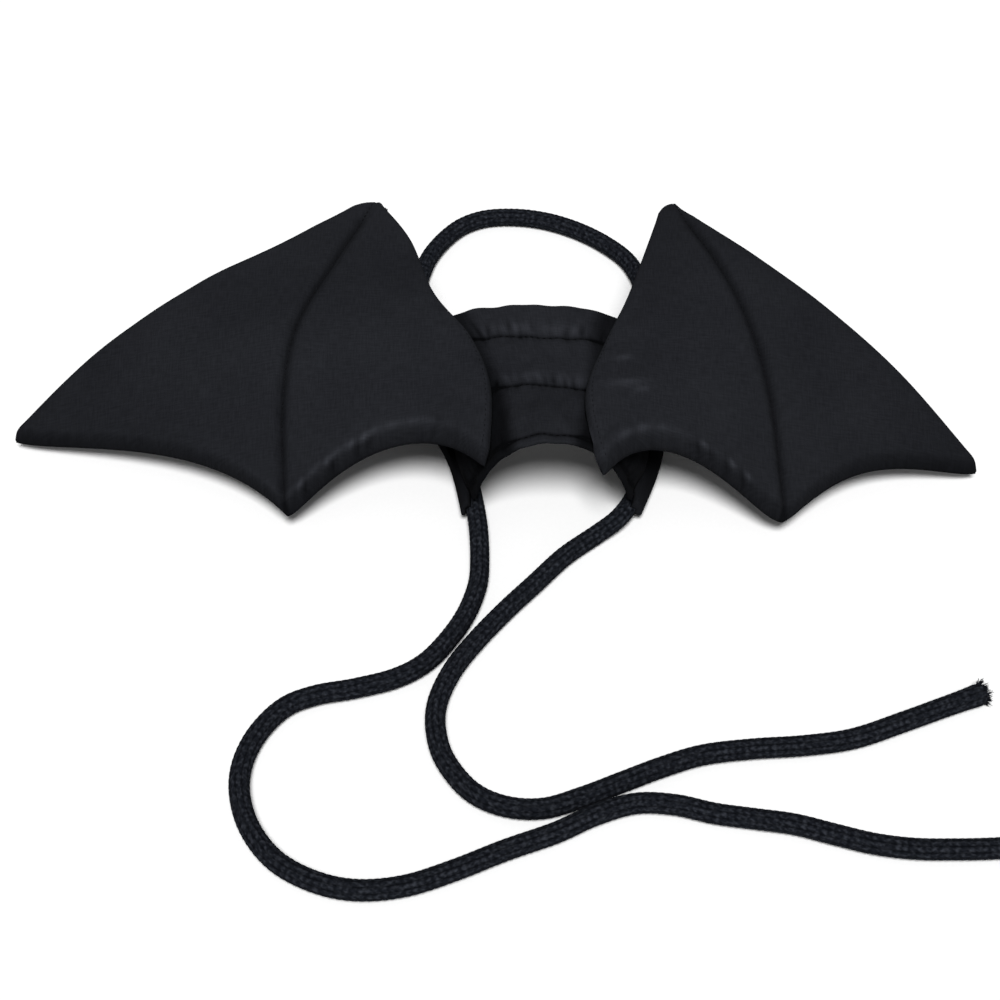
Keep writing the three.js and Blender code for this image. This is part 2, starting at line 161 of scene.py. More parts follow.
# A row of sewing stitches along a line on the cloth: each a thread as a slim spindle that
# rises from the cloth and dips back in, radius sqrt(1 - s^2), height falling with s^2.
def makeStitches(name, line, normals, look, thread):
    run = runningLength(line)
    at = np.arange(look["pitch"] * mm, run[-1] - look["pitch"] * mm / 2, look["pitch"] * mm)
    middle = np.stack([np.interp(at, run, line[:, k]) for k in range(3)], -1)
    up = unit(np.stack([np.interp(at, run, normals[:, k]) for k in range(3)], -1))
    ahead = np.stack([np.interp(at + 0.3 * mm, run, line[:, k]) for k in range(3)], -1) - middle
    ahead = unit(ahead - up * (ahead * up).sum(-1, keepdims=True))
    beside = np.cross(ahead, up)
    s = np.linspace(-1, 1, 7)[None, :, None, None]
    angle = np.linspace(0, 2 * np.pi, 6, endpoint=False)[None, None, :, None]
    thick = look["radius"] * mm * np.sqrt(1 - 0.98 * s**2)
    lift = look["lift"] * mm - look["dip"] * mm * s**2
    spot = (slice(None), None, None)
    points = middle[spot] + ahead[spot] * s * look["length"] / 2 * mm + up[spot] * lift
    points = points + (beside[spot] * np.cos(angle) + up[spot] * np.sin(angle)) * thick
    index = np.arange(points[..., 0].size).reshape(points.shape[:3])
    closed = np.concatenate([index, index[:, :, :1]], 2)
    quads = np.concatenate([gridFaces(grid) for grid in closed])
    caps = np.concatenate([index[:, 0, ::-1], index[:, -1]])
    points = points.reshape(-1, 3)
    piece = makePiece(name, points, quads.tolist() + caps.tolist(), points[:, :2], [thread])
    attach(piece, "root")
    return piece


# A mesh object from points in the saddle's place, faces, and a map in metres for the weave. Its last
# argument is painted light and shade at each vertex: how much paler the colour is painted, or darker where below
# 0.
def makePiece(name, points, faces, weaveMap=None, materials=(), paintedShading=None):
    mesh = bpy.data.meshes.new(name)
    mesh.from_pydata((points + origin).tolist(), [], faces)
    mesh.polygons.foreach_set("use_smooth", np.ones(len(mesh.polygons), bool))
    if weaveMap is not None:
        corner = np.empty(len(mesh.loops), np.int32)
        mesh.loops.foreach_get("vertex_index", corner)
        layer = mesh.uv_layers.new(name="weave")
        layer.data.foreach_set("uv", weaveMap[corner].astype(np.float32).ravel())
    if paintedShading is not None:
        paintedLight = mesh.attributes.new("paintedShading", "FLOAT", "POINT")
        paintedLight.data.foreach_set("value", paintedShading.astype(np.float32).ravel())
    for material in materials:
        mesh.materials.append(material)
    mesh.update()
    piece = bpy.data.objects.new(name, mesh)
    bpy.context.scene.collection.objects.link(piece)
    return piece


# Shader helpers
def newMaterial(name, settings):
    material = bpy.data.materials.new(name)
    material.use_nodes = True
    shader = material.node_tree.nodes["Principled BSDF"]
    for socket, value in settings.items():
        shader.inputs[socket].default_value = value
    return material, material.node_tree, shader


def addNode(tree, kind, inputs=None, **settings):
    node = tree.nodes.new(kind)
    for key, value in settings.items():
        setattr(node, key, value)
    for socket, value in (inputs or {}).items():
        if isinstance(value, bpy.types.NodeSocket):
            tree.links.new(value, node.inputs[socket])
        else:
            node.inputs[socket].default_value = value
    return node


def addRamp(tree, value, stops):
    node = addNode(tree, "ShaderNodeValToRGB", {"Fac": value})
    while len(node.color_ramp.elements) < len(stops):
        node.color_ramp.elements.new(0.5)
    for element, (at, colour) in zip(node.color_ramp.elements, stops):
        element.position = at
        element.color = (*colour, 1)
    return node.outputs["Color"]


# The tone times 1 + the painted light and shade that makePiece keeps on the vertices.
def addPaintedShading(tree, tone):
    paintedLight = addNode(tree, "ShaderNodeAttribute", attribute_name="paintedShading")
    share = addNode(tree, "ShaderNodeMath", {0: paintedLight.outputs["Fac"], 1: 1.0}, operation="ADD")
    scaled = addNode(
        tree, "ShaderNodeVectorMath", {"Vector": tone, "Scale": share.outputs[0]}, operation="SCALE",
    )
    return scaled.outputs["Vector"]


# Black cloth: a fine plain weave, matt, paler where a highlight is painted and darker where shade is painted.
clothLook = dict(
    dark=(0.0106, 0.0112, 0.0135),
    pale=(0.0142, 0.0150, 0.0178),
    threads=(2300.0, 240.0),  # to the metre, across a thread and along it
    weaveDepth=0.09 * mm,
    weaveTone=(0.83, 1.17),  # a thread's own tone, from dark to pale
    patch=26.0,  # soft patches to the metre
    roughness=(0.46, 0.54),
)


def makeCloth(name, look):
    settings = {
        "Specular IOR Level": 0.0,
        "Sheen Weight": 0.004,
        "Sheen Roughness": 0.6,
    }
    material, tree, shader = newMaterial(name, settings)
    place = addNode(tree, "ShaderNodeTexCoord")
    across, along = look["threads"]
    sets = []
    for scale in ((across, along, 1), (along, across, 1)):
        stretch = addNode(tree, "ShaderNodeMapping", {"Vector": place.outputs["UV"], "Scale": scale})
        threads = addNode(
            tree, "ShaderNodeTexNoise",
            {"Vector": stretch.outputs["Vector"], "Scale": 1.0, "Detail": 2.0, "Roughness": 0.5},
        )
        sets.append(threads.outputs["Fac"])
    weave = addNode(tree, "ShaderNodeMath", {0: sets[0], 1: sets[1]}, operation="ADD")
    patches = addNode(
        tree, "ShaderNodeTexNoise",
        {"Vector": place.outputs["Object"], "Scale": look["patch"], "Detail": 3.0, "Roughness": 0.55},
    )
    tone = addRamp(tree, patches.outputs["Fac"], [(0.30, look["dark"]), (0.72, look["pale"])])
    thread = addNode(
        tree, "ShaderNodeMapRange",
        {"Value": weave.outputs[0], "From Min": 0.75, "From Max": 1.25,
         "To Min": look["weaveTone"][0], "To Max": look["weaveTone"][1]},
    )
    woven = addNode(
        tree, "ShaderNodeVectorMath", {"Vector": tone, "Scale": thread.outputs["Result"]}, operation="SCALE",
    )
    tree.links.new(addPaintedShading(tree, woven.outputs["Vector"]), shader.inputs["Base Color"])
    gloss = addNode(
        tree, "ShaderNodeMapRange",
        {"Value": patches.outputs["Fac"], "From Min": 0.3, "From Max": 0.7,
         "To Min": look["roughness"][1], "To Max": look["roughness"][0]},
    )
    tree.links.new(gloss.outputs["Result"], shader.inputs["Roughness"])
    fine = addNode(
        tree, "ShaderNodeBump",
        {"Height": weave.outputs[0], "Distance": look["weaveDepth"], "Strength": 0.6},
    )
    tree.links.new(fine.outputs["Normal"], shader.inputs["Normal"])
    return material


# Knitted yarn: matt bluish black, with paler flecks painted as highlights where the loops would catch
# the light, painted light and shade from each vertex, and fine fibres that run with the strand.
yarnLook = dict(
    dark=(0.0060, 0.0069, 0.0092),
    pale=(0.0185, 0.0205, 0.0255),
    glintFlecks=(900.0, 620.0),  # to the metre, round the cord and along it
    fibres=2600.0,
    fibreDepth=0.10 * mm,
)


def makeYarn(name, look):
    settings = {
        "Roughness": 0.80,
        "Specular IOR Level": 0.0,
        "Sheen Weight": 0.004,
        "Sheen Roughness": 0.6,
    }
    material, tree, shader = newMaterial(name, settings)
    place = addNode(tree, "ShaderNodeTexCoord")
    stretch = addNode(
        tree, "ShaderNodeMapping",
        {"Vector": place.outputs["UV"], "Scale": (look["fibres"], look["fibres"] * 0.35, 1)},
    )
    fibres = addNode(
        tree, "ShaderNodeTexNoise",
        {"Vector": stretch.outputs["Vector"], "Scale": 1.0, "Detail": 3.0, "Roughness": 0.6},
    )
    spread = addNode(
        tree, "ShaderNodeMapping", {"Vector": place.outputs["UV"], "Scale": (*look["glintFlecks"], 1)},
    )
    glintFlecks = addNode(
        tree, "ShaderNodeTexNoise",
        {"Vector": spread.outputs["Vector"], "Scale": 1.0, "Detail": 1.0, "Roughness": 0.5},
    )
    # The flecks are painted highlights of the loops, a noise pattern from dark to pale.
    tone = addRamp(tree, glintFlecks.outputs["Fac"], [(0.44, look["dark"]), (0.68, look["pale"])])
    tree.links.new(addPaintedShading(tree, tone), shader.inputs["Base Color"])
    bump = addNode(
        tree, "ShaderNodeBump",
        {"Height": fibres.outputs["Fac"], "Distance": look["fibreDepth"], "Strength": 0.6},
    )
    tree.links.new(bump.outputs["Normal"], shader.inputs["Normal"])
    return material


# Sewing thread: black, finer and a little glossier than the cloth.
def makeThread(name, dark, pale):
    settings = {"Roughness": 0.6, "Specular IOR Level": 0.0}
    material, tree, shader = newMaterial(name, settings)
    place = addNode(tree, "ShaderNodeTexCoord")
    twist = addNode(tree, "ShaderNodeTexNoise", {"Vector": place.outputs["Object"], "Scale": 1800.0})
    tone = addRamp(tree, twist.outputs["Fac"], [(0.3, dark), (0.7, pale)])
    tree.links.new(tone, shader.inputs["Base Color"])
    return material


wingCloth = makeCloth("wingCloth", clothLook)
ribThread = makeThread("ribThread", (0.0048, 0.0048, 0.0056), (0.0115, 0.0115, 0.0135))
seamThread = makeThread("seamThread", (0.0020, 0.0020, 0.0023), (0.0046, 0.0046, 0.0053))
saddleCloth = makeCloth("saddleCloth", clothLook)
cordYarn = makeYarn("cordYarn", yarnLook)
print("camera and materials: done")


# The saddle's arch: cross lines from front to back. Width and height are shares of the
# saddle's, square is how boxy the arch is, lean is how far it stands to +X, in mm.
saddle = dict(
    length=59 * mm,
    halfWidth=41 * mm,
    height=38.5 * mm,
    wall=4.4 * mm,
    hemWall=1.6 * mm,
    seamPress=1.5 * mm,
    seamTurn=0.09,  # slope of the seams across, left end further back
    seamBow=1.2 * mm,  # how far a seam's ends stand back at seamReach from its middle
    seamReach=18 * mm,
    foot=10.65 * mm,
    lines=dict(
        along=(0.00, 0.40, 0.74, 1.00),
        width=(0.670, 0.835, 0.950, 1.000),
        height=(1.000, 0.955, 0.975, 1.035),
        square=(2.10, 2.10, 2.60, 2.80),
        lean=(3.8, 3.2, 0.0, -2.5),
    ),
)


# A cross line's value at a place between the lines, on a smooth curve through them: a cubic in
# each span, whose slope at a line is the rise from the line before it to the one after it.
def lineValue(key, along):
    x = np.array(saddle["lines"]["along"])
    y = np.array(saddle["lines"][key])
    last = len(x) - 1
    low, high = np.maximum(np.arange(last + 1) - 1, 0), np.minimum(np.arange(last + 1) + 1, last)
    slope = (y[high] - y[low]) / (x[high] - x[low])
    at = np.clip(along, x[0], x[-1])
    i = np.clip(np.searchsorted(x, at) - 1, 0, last - 1)
    step, rise = x[i + 1] - x[i], y[i + 1] - y[i]
    f = (at - x[i]) / step
    p, q = slope[i] * step, slope[i + 1] * step
    return y[i] + p * f + (3 * rise - 2 * p - q) * f**2 + (p + q - 2 * rise) * f**3


def archSize(along, inset):
    width = saddle["halfWidth"] * lineValue("width", along) - inset
    height = saddle["height"] * lineValue("height", along) - inset
    return width, height, lineValue("square", along), lineValue("lean", along) * mm


# Half the arch's width at a height: a superellipse, width (1 - (z / height)^n)^(1 / n).
def archReach(along, inset, z):
    width, height, n, _ = archSize(along, inset)
    return width * (1 - (z / height) ** n) ** (1 / n)


# The arch's top over x, the same superellipse read the other way. Outside it, minus infinity.
def archTop(x, y, inset):
    along = y / saddle["length"] + 0.5
    width, height, n, lean = archSize(along, inset)
    share = np.abs(x - lean) / width
    top = height * (1 - np.minimum(share, 1) ** n) ** (1 / n)
    return np.where((share < 1) & (along >= 0) & (along <= 1), top, -np.inf)


# A point of the arch by its angle from the crown, from the left foot, -1, to the right, 1. The
# radius at an angle is (|sin / width|^n + |cos / height|^n)^(-1 / n). Cross lines are turned and
# bowed by (bow (out / reach)^2 - turn out) sin(pi along), so the saddle's two ends are straight.
def archPoint(along, inset, across):
    width, height, n, lean = archSize(along, inset)
    angle = across * np.arctan2(archReach(along, inset, saddle["foot"]), saddle["foot"])
    radius = (np.abs(np.sin(angle) / width) ** n + (np.cos(angle) / height) ** n) ** (-1 / n)
    out = radius * np.sin(angle)
    sway = saddle["seamBow"] * (out / saddle["seamReach"]) ** 2 - saddle["seamTurn"] * out
    y = (along - 0.5) * saddle["length"] + sway * np.sin(np.pi * np.clip(along, 0, 1))
    return np.stack([lean + out, y, radius * np.cos(angle)], -1)


# Casings: where the cord runs inside them
casing = dict(
    top=10.35 * mm,
    wall=1.4 * mm,
    bore=3.4 * mm,
    proud=1.8 * mm,
    flat=0.4 * mm,
    bow=2 * mm,
    slant=18 * mm,
    slantFade=2.5,
)
casingRadius = casing["bore"] + casing["wall"]
axisHeight = casingRadius - casing["flat"]


# The cord's axis inside a casing, level at the axis height and a little inside the foot.
def casingAxis(side, along):
    along = np.asarray(along, float)
    out = archReach(along, 0, saddle["foot"]) + casing["proud"] - casingRadius
    x = lineValue("lean", along) * mm + side * out + casing["bow"] * 4 * along * (1 - along)
    return np.stack([x, (along - 0.5) * saddle["length"], axisHeight + 0 * x], -1)


# The cord's three lengths. Route points are x and y on the floor, in mm.
cordShape = dict(
    radius=3.0 * mm,
    rest=3.15 * mm,
    step=0.4 * mm,
    sides=50,
    wales=10,
    course=2.0 * mm,
    relief=0.22 * mm,
    flare=0.22,
    flareReach=4 * mm,
)
rightEnd = dict(
    side=1,
    length=0.318,
    route=[
        (24.5, -32), (18, -37.2), (7.8, -46.2), (-1.6, -57.3), (-10.8, -68.2), (-19.8, -80.2),
        (-26.4, -91), (-30.5, -102.5), (-30.8, -113), (-27.8, -123.5), (-20.5, -133.7),
        (-11, -138.8), (0, -139.5), (11.5, -135.5), (23, -130.3), (34.5, -125.2), (46, -121.2),
        (60, -119.2), (75, -118), (89.5, -115.5), (104.7, -109.5), (117, -104.3), (129.2, -99.2),
    ],
)
leftEnd = dict(
    side=-1,
    length=0.467,
    route=[
        (-19.1, -36), (-18.6, -48), (-19.2, -58), (-22.4, -69), (-27.6, -79), (-34.5, -88),
        (-43.2, -93.8), (-54.8, -97.5), (-66.4, -100.1), (-75.2, -104.6), (-82.2, -114),
        (-85.7, -125), (-85.3, -136), (-81.2, -147.2), (-73.5, -157), (-62.6, -163.4),
        (-51, -166), (-38, -164.6), (-24.6, -159.6), (-11, -153.3), (3, -147.6), (14.1, -141.8),
        (25.5, -137.9), (36.6, -138.3), (47.6, -141.2), (58.6, -143), (69.6, -144.8),
        (80.4, -148.1), (91.1, -151.2), (101.9, -152.8), (112.9, -153), (124, -152.7),
        (140, -151.5), (156, -149.5), (172, -147), (183, -145),
    ],
)
neckLoop = dict(
    length=0.277,
    route=[
        (-41.7, 36), (-42.9, 47), (-42.6, 62), (-40.8, 79), (-36.8, 94.8), (-28.5, 108),
        (-19, 114.3), (-7.5, 115.6), (4, 113.5), (15, 108.4), (25, 100.8), (33, 91.2),
        (37.4, 78), (38.2, 64), (37, 50), (35.6, 38),
    ],
)
meetingPlace = 0.5  # along the casing, where the lengths meet end to end
meetingGap = 0.3 * mm / saddle["length"]
frontPlaces = np.array([0.35, 0.2, 0.08])
backPlaces = np.array([0.65, 0.8, 0.95])


# A route at the height where the cord rests. Next to a mouth it is still at the casing's.
def onFloor(route, mouths):
    points = np.array([(x * mm, y * mm, cordShape["rest"]) for x, y in route])
    points[mouths, 2] = axisHeight
    return points


# Knitted surface of a cord: its relief over the angle and the running length. Each wale is a
# rounded rib along the cord, and each course a wave across it that points like a V.
def knitRelief(angle, run):
    wale = (angle * cordShape["wales"] / (2 * np.pi)) % 1
    leg = np.abs(2 * wale - 1)
    rib = np.sqrt(np.sin(np.pi * wale) + 0.02)
    loop = 0.5 + 0.5 * np.cos(2 * np.pi * (run / cordShape["course"] - 0.55 * leg))
    return cordShape["relief"] * (rib * (0.45 + 0.55 * loop) - 0.6)


# A cord: a circle carried along the even path, moved out by the knit, its ends rounded off. A
# frayed end is wider by flare exp(-run / reach), with the run from the end.
def makeCord(name, points, frayed):
    path, run = evenPath(points, cordShape["step"])
    ahead = unit(np.gradient(path, axis=0))
    beside = unit(np.cross(ahead, (0, 0, 1)))
    above = np.cross(beside, ahead)
    angle = np.linspace(0, 2 * np.pi, cordShape["sides"], endpoint=False)
    fromEnd = np.minimum(run, run[-1] - run)[:, None] / cordShape["radius"]
    rounded = np.sqrt(1 - (1 - np.minimum(fromEnd + 0.04, 1)) ** 2) ** 0.6
    flare = 1 + cordShape["flare"] * np.exp(-((run[-1] - run[:, None]) / cordShape["flareReach"])) * frayed
    radius = (cordShape["radius"] + knitRelief(angle[None, :], run[:, None])) * rounded * flare
    ring = beside[:, None] * np.cos(angle)[None, :, None] + above[:, None] * np.sin(angle)[None, :, None]
    points = path[:, None] + ring * radius[..., None]
    points[..., 2] = np.maximum(points[..., 2], 0.05 * mm)
    rings, sides = points.shape[:2]
    index = np.arange(rings * sides).reshape(rings, sides)
    faces = gridFaces(np.hstack([index, index[:, :1]])[:, ::-1]).tolist()
    start, end = rings * sides, rings * sides + 1
    faces += [(start, int(a), int(b)) for a, b in zip(np.roll(index[0], -1), index[0])]
    faces += [(end, int(a), int(b)) for a, b in zip(index[-1], np.roll(index[-1], -1))]
    points = np.vstack([points.reshape(-1, 3), path[:1], path[-1:]])
    around = (angle * cordShape["radius"])[None, :] + 0 * run[:, None]
    along = run[:, None] + 0 * angle[None, :]
    weave = np.stack([around, along], -1).reshape(-1, 2)
    weave = np.vstack([weave, [(0, 0), (0, run[-1])]])
    # Painted light and shade from the knit: paler on the loops as painted highlights, darker in the hollows as
    # painted shade.
    paintedShading = knitRelief(angle[None, :], run[:, None]) / cordShape["relief"] * 1.6 + 0.1
    paintedShading = np.append(np.clip(paintedShading, -0.5, 0.5).ravel(), [0, 0])
    piece = makePiece(name, points, faces, weave, [cordYarn], paintedShading)
    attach(piece, "root")
    return piece, path


# The frayed end of a cut cord: short bent threads that stand out round its last ring.
fray = dict(threads=260, length=(0.8, 2.4), radius=0.15, seed=5)


def makeFray(name, path):
    random = np.random.default_rng(fray["seed"])
    count = fray["threads"]
    ahead = unit(path[-1] - path[-4])
    beside = unit(np.cross(ahead, (0, 0, 1)))
    above = np.cross(beside, ahead)
    turn = random.uniform(0, 2 * np.pi, count)
    out = np.sqrt(random.uniform(0.05, 1.0, count))[:, None]
    radial = beside * np.cos(turn)[:, None] + above * np.sin(turn)[:, None]
    length = random.uniform(*fray["length"], count)[:, None] * mm
    root = path[-1] - ahead * 0.9 * mm + radial * out * cordShape["radius"] * 1.02
    lean = unit(ahead + radial * out * random.uniform(0.2, 1.9, (count, 1)))
    curl = unit(np.cross(lean, random.normal(size=(count, 3)))) * length * random.uniform(0.1, 0.5, (count, 1))
    s = np.linspace(0, 1, 6)[None, :, None]
    line = root[:, None] + lean[:, None] * length[:, None] * s + curl[:, None] * s**2
    side = unit(np.cross(lean, (0.3, 0.2, 0.9)))[:, None, None]
    other = np.cross(side, lean[:, None, None])
    angle = np.linspace(0, 2 * np.pi, 5, endpoint=False)[None, None, :, None]
    thin = fray["radius"] * mm * (1 - 0.75 * s**2)[..., None]
    points = line[:, :, None] + (side * np.cos(angle) + other * np.sin(angle)) * thin
    points[..., 2] = np.maximum(points[..., 2], 0.1 * mm)
    index = np.arange(points[..., 0].size).reshape(points.shape[:3])
    closed = np.concatenate([index, index[:, :, :1]], 2)
    quads = np.concatenate([gridFaces(grid) for grid in closed])
    caps = np.concatenate([index[:, 0, ::-1], index[:, -1]])
    points = points.reshape(-1, 3)
    piece = makePiece(name, points, quads.tolist() + caps.tolist(), points[:, :2], [cordYarn])
    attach(piece, "root")
    return piece


# The cord's line inside a casing, from the meeting place outwards.
def insideCasing(side, places):
    first = meetingPlace + meetingGap * np.sign(places[0] - meetingPlace)
    return casingAxis(side, np.concatenate([[first], places]))


cordLines = {}
for end, name, node in ((leftEnd, "leftEndCord", "cord_end_left"), (rightEnd, "rightEndCord", "cord_end_right")):
    line = np.vstack([insideCasing(end["side"], frontPlaces), onFloor(end["route"], [0])])
    cordPiece, path = makeCord(name, line, True)
    threads = makeFray(name + "Fray", path)
    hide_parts(node)
    cordLines[end["side"]] = path[path[:, 1] > -45 * mm]
    print(name, "length", round(runningLength(path)[-1], 4))

route = onFloor(neckLoop["route"], [0, -1])
line = np.vstack([insideCasing(-1, backPlaces), route, insideCasing(1, backPlaces)[::-1]])
loopPiece, path = makeCord("neckLoopCord", line, False)
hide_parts("cord_neck_loop")
nearSaddle = path[:, 1] < 45 * mm
middleX = (line[0, 0] + line[-1, 0]) / 2
for side in (-1, 1):
    here = path[nearSaddle & ((path[:, 0] - middleX) * side > 0)]
    cordLines[side] = np.concatenate([cordLines[side], here])
print("neckLoopCord length", round(runningLength(path)[-1], 4))


# The wings, each with three lines from its back point: the inner edge, the rib and the leading
# edge. A line's columns are out, a share of the reach, back, of the chord, and up, of the rise.
# The inner edge ends on the saddle: share of the half width, place along, and mm above it.
# A scallop is how deep the hem is cut back, its skew and how sharp it is.
wingShape = dict(
    chord=112 * mm,
    rise=40 * mm,
    pad=6.2 * mm,
    edge=3.3 * mm,  # how far the rounding reaches in from the outline
    edgePower=2.6,  # how boxy the rounding is
    hem=(5.2 * mm, 8.0 * mm),  # the same along the hem, above and below
    hemPower=(2.3, 1.6),
    hemDrop=1.8 * mm,  # how far the hem's seam hangs below the middle
    crest=0.30 * mm,  # the padding's swell next to the hem
    ribPress=0.58,
    ribWidth=1.8 * mm,
    ribStart=14 * mm,  # from the back point to where the rib's groove has its full depth
    backRound=0.9 * mm,
    cornerRound=0.020,  # share of the lines that the hem's corners are rounded by
    endReach=2.6 * mm,  # how far from the hem the tip and the inner corner are blunted
    tipBlunt=1.7 * mm,
    tabBlunt=1.6 * mm,
    columns=(84, 92),
    rows=120,
)
# puckers are places along the inner hem; the shine pair is the middle and width, as shares of the inner hem, of a
# painted highlight along its crest.
leftWing = dict(
    name="leftWing", node="wing_left", side=-1, reach=170 * mm, seed=11,
    inner=[(0.303, 0.670, 1.00), (0.245, 0.514, 1.01), (0.196, 0.290, 0.99)],
    seat=[(0.54, 0.74, 3.0), (0.53, 0.41, 3.0), (0.72, -0.075, 1.0)],
    rib=[(0.318, 0.684, 1.01), (0.387, 0.410, 1.05), (0.454, 0.165, 0.95),
         (0.474, -0.039, 0.625), (0.464, -0.328, 0.175)],
    lead=[(0.363, 0.665, 1.00), (0.503, 0.471, 1.05), (0.654, 0.343, 0.95),
          (0.840, 0.184, 0.625), (1.024, 0.002, 0.075)],
    innerScallop=(0.112, 0.84, 1.0), outerScallop=(0.076, 0.70, 1.0),
    puckers=(0.55, 0.61, 0.73, 0.88), paintedShine=(0.62, 0.34), folds=(),
)
rightWing = dict(
    name="rightWing", node="wing_right", side=1, reach=140 * mm, seed=23,
    inner=[(0.292, 0.645, 1.00), (0.252, 0.471, 1.01), (0.200, 0.264, 0.99)],
    seat=[(0.52, 0.70, 3.0), (0.32, 0.29, 3.0), (0.53, -0.18, -2.0)],
    rib=[(0.324, 0.679, 1.01), (0.418, 0.389, 1.05), (0.480, 0.165, 0.95),
         (0.521, -0.020, 0.625), (0.543, -0.353, 0.175)],
    lead=[(0.344, 0.652, 1.00), (0.516, 0.413, 1.05), (0.679, 0.228, 0.925),
          (0.829, 0.097, 0.625), (1.031, -0.124, 0.075)],
    innerScallop=(0.108, 0.76, 1.25), outerScallop=(0.070, 0.94, 1.0),
    puckers=(0.52, 0.67, 0.76), paintedShine=(0.22, 0.20),
    folds=((26.0, 4.4, 2.8, 1.2, 0.25), (26.2, -5.6, 6.0, 1.4, 0.3), (31.0, -7.0, 2.6, 1.1, 0.3)),
)
ribStitch = dict(pitch=1.9, length=1.35, radius=0.20, lift=0.10, dip=0.25)
seatStitch = dict(pitch=1.9, length=1.2, radius=0.12, lift=0.06, dip=0.22, column=4, start=66, stop=-5)


def saddleTop(share, along, lift):
    width, height, n, lean = archSize(along, 0)
    z = height * (1 - np.abs(share) ** n) ** (1 / n) + lift
    return np.array([lean + share * width, (along - 0.5) * saddle["length"], z])


# A wing's middle surface. Between two lines a point is a straight mix of theirs at the same
# share of their length, cut short by the root of scallop^2 + round^2, where the scallop is
# depth (4 k (1 - k))^sharp with k = t^skew. Next to the hem the two outer lines turn inwards by
# blunt exp(-((1 - s) / reach)^2).
def wingMiddle(wing):
    scale = np.array([wing["side"] * wing["reach"], wingShape["chord"], wingShape["rise"]])
    seat = [saddleTop(wing["side"] * share, along, lift * mm) for share, along, lift in wing["seat"]]
    inner = np.vstack([np.array(wing["inner"]) * scale, seat])
    rib, lead = np.array(wing["rib"]) * scale, np.array(wing["lead"]) * scale
    backward = unit(rib[0] - rib[1])
    s = edgewiseShares(wingShape["rows"])[None, :]

    def panel(start, end, scallop, count, tabBlunt, tipBlunt):
        depth, skew, sharp = scallop
        t = edgewiseShares(count)[:, None]
        k = t**skew
        at = s * (1 - np.hypot(depth * (4 * k * (1 - k)) ** sharp, wingShape["cornerRound"]))
        rounding = wingShape["backRound"] * 4 * t * (1 - t) * (1 - s) ** 8
        a, b = curveThrough(start, at), curveThrough(end, at)
        across = np.linalg.norm(b - a, axis=-1).max()
        toEnd = (1 - s) * runningLength(np.array(start if tabBlunt else end))[-1] / wingShape["endReach"]
        t = t + np.exp(-(toEnd**2)) * ((1 - t) * tabBlunt - t * tipBlunt) / across
        return a + (b - a) * t[..., None] + backward * rounding[..., None]

    first = panel(inner, rib, wing["innerScallop"], wingShape["columns"][0], wingShape["tabBlunt"], 0)
    second = panel(rib, lead, wing["outerScallop"], wingShape["columns"][1], 0, wingShape["tipBlunt"])
    return np.concatenate([first, second[1:]])


# Puckers of the inner hem: at each place, a share of the hem's length, a valley that runs in
# from the hem, depth exp(-(away / width)^2) exp(-((d - middle) / reach)^2), and a painted
# highlight on the swell beside it.
pucker = dict(width=1.0, depth=0.75, middle=3.5, reach=3.0, beside=2.0, swell=1.1, swellAt=5.0, pale=1.0)


def puckerDepth(run, toHem, length, places):
    valley, pale = np.zeros_like(run), np.zeros_like(run)
    for place in places:
        away = (run - place * length) / mm
        d = toHem / mm
        fade = np.exp(-(((d - pucker["middle"]) / pucker["reach"]) ** 2))
        valley += pucker["depth"] * mm * np.exp(-((away / pucker["width"]) ** 2)) * fade
        spot = np.exp(-(((away - pucker["beside"]) / pucker["swell"]) ** 2))
        pale += pucker["pale"] * spot * np.exp(-(((d - pucker["swellAt"]) / 1.2) ** 2))
    return valley, pale


# Soft folds of the upper sheet, each a ridge with its middle at x and y, its half length and
# half width in mm and its slope: height exp(-(x / long)^2 - (y / wide)^2).
def foldHeight(grid, folds):
    height = np.zeros(grid.shape[:-1])
    for x, y, long, wide, slope in folds:
        along = grid[..., 0] / mm - x
        beside = grid[..., 1] / mm - y - slope * along
        height += np.exp(-((along / long) ** 2) - (beside / wide) ** 2)
    return height


